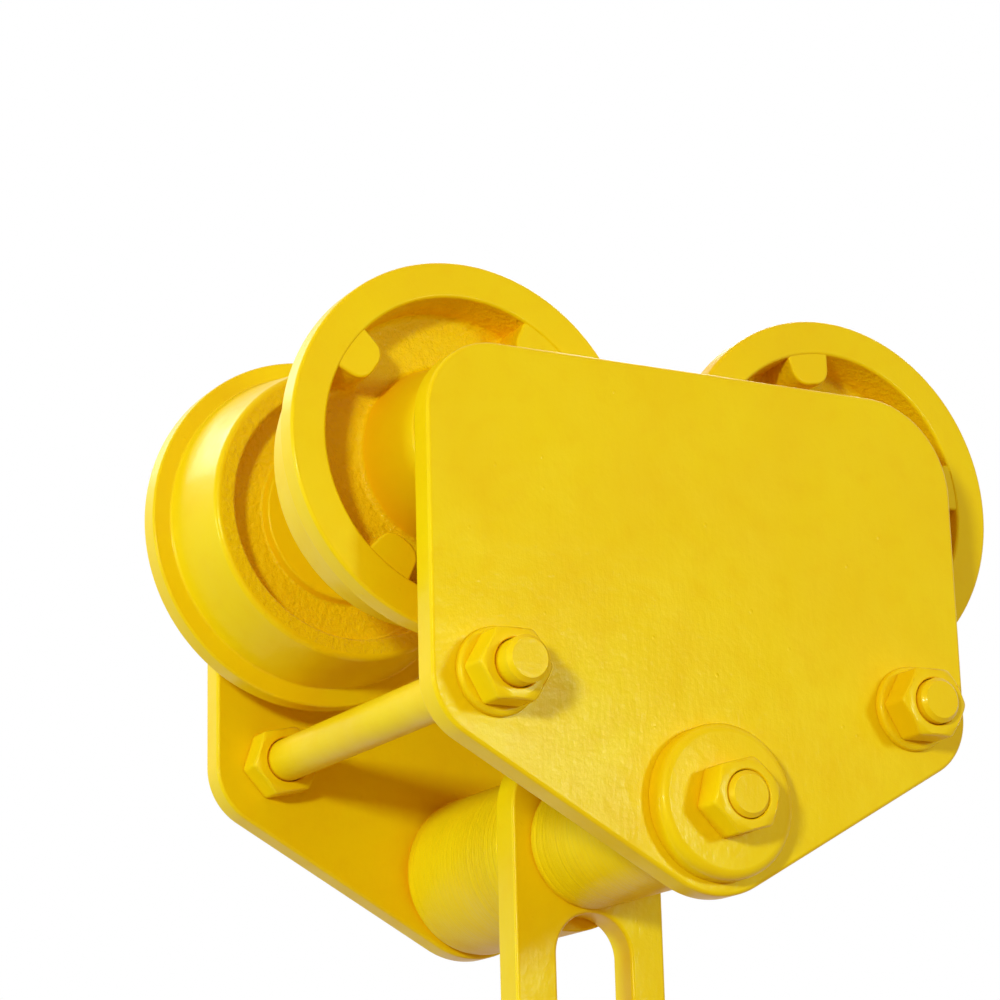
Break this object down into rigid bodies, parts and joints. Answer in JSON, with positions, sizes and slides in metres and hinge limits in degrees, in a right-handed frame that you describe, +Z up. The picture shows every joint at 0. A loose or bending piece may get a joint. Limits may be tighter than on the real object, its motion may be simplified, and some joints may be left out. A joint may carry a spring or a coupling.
{
  "type": "beam trolley",
  "caption": "Push beam trolley: side plates with flanged wheels that run on the lower flange of an I-beam, joined by tie rods, with a slotted hanger swinging on a load shaft below",
  "frame": {"origin": "midway between the four wheels, at the height of the lowest line of their treads, which is the running surface of the beam's lower flange", "axes": "+X along the beam to the right as seen from the near side, +Y across the beam towards the far side plate, +Z up"},
  "size_m": [0.323, 0.2622, 0.3325],
  "materials": {
    "enamel_side_plates": "gloss yellow enamel over cut steel plate",
    "enamel_wheels": "gloss yellow enamel over cast and turned iron",
    "enamel_nuts": "gloss yellow enamel with bare edges at the threads",
    "enamel_washers": "gloss yellow enamel",
    "enamel_tie_rods": "gloss yellow enamel over cut threads",
    "enamel_load_shaft": "gloss yellow enamel over turned steel",
    "enamel_collars": "gloss yellow enamel",
    "enamel_sleeves": "gloss yellow enamel over lathe marks",
    "enamel_hanger": "gloss yellow enamel over cut steel plate",
    "axle_steel": "turned steel",
    "bearing_steel": "ground steel",
    "spring_steel": "dark spring steel"
  },
  "bodies": {
    "frame": {"side_plate_near": "enamel_side_plates", "side_plate_far": "enamel_side_plates", "axle_near_left": "axle_steel", "axle_near_right": "axle_steel", "axle_far_left": "axle_steel", "axle_far_right": "axle_steel", "tie_rod_left": "enamel_tie_rods", "tie_rod_right": "enamel_tie_rods", "rod_nut_outer_near_left": "enamel_nuts", "rod_nut_outer_near_right": "enamel_nuts", "rod_nut_outer_far_left": "enamel_nuts", "rod_nut_outer_far_right": "enamel_nuts", "rod_nut_inner_near_left": "enamel_nuts", "rod_nut_inner_near_right": "enamel_nuts", "rod_nut_inner_far_left": "enamel_nuts", "rod_nut_inner_far_right": "enamel_nuts", "rod_washer_near_left": "enamel_washers", "rod_washer_near_right": "enamel_washers", "rod_washer_far_left": "enamel_washers", "rod_washer_far_right": "enamel_washers", "load_shaft": "enamel_load_shaft", "shaft_collar_near": "enamel_collars", "shaft_collar_far": "enamel_collars", "shaft_nut_near": "enamel_nuts", "shaft_nut_far": "enamel_nuts", "spacer_sleeve_near": "enamel_sleeves", "spacer_sleeve_far": "enamel_sleeves"},
    "wheel_near_left_body": {"wheel_near_left": "enamel_wheels", "bearing_near_left": "bearing_steel", "circlip_near_left": "spring_steel"},
    "wheel_near_right_body": {"wheel_near_right": "enamel_wheels", "bearing_near_right": "bearing_steel", "circlip_near_right": "spring_steel"},
    "wheel_far_left_body": {"wheel_far_left": "enamel_wheels", "bearing_far_left": "bearing_steel", "circlip_far_left": "spring_steel"},
    "wheel_far_right_body": {"wheel_far_right": "enamel_wheels", "bearing_far_right": "bearing_steel", "circlip_far_right": "spring_steel"},
    "hanger_body": {"hanger": "enamel_hanger"}
  },
  "joints": [
    {"name": "wheel_near_left_spin", "type": "hinge", "parent": "frame", "child": "wheel_near_left_body", "pos_m": [-0.086, -0.051, 0.068], "axis": [0, 1, 0], "continuous": true},
    {"name": "wheel_near_right_spin", "type": "hinge", "parent": "frame", "child": "wheel_near_right_body", "pos_m": [0.086, -0.051, 0.068], "axis": [0, 1, 0], "continuous": true},
    {"name": "wheel_far_left_spin", "type": "hinge", "parent": "frame", "child": "wheel_far_left_body", "pos_m": [-0.086, 0.051, 0.068], "axis": [0, 1, 0], "continuous": true},
    {"name": "wheel_far_right_spin", "type": "hinge", "parent": "frame", "child": "wheel_far_right_body", "pos_m": [0.086, 0.051, 0.068], "axis": [0, 1, 0], "continuous": true},
    {"name": "hanger_swing", "type": "hinge", "parent": "frame", "child": "hanger_body", "pos_m": [0, 0, -0.071], "axis": [0, 1, 0], "range_deg": [-80, 80]}
  ]
}
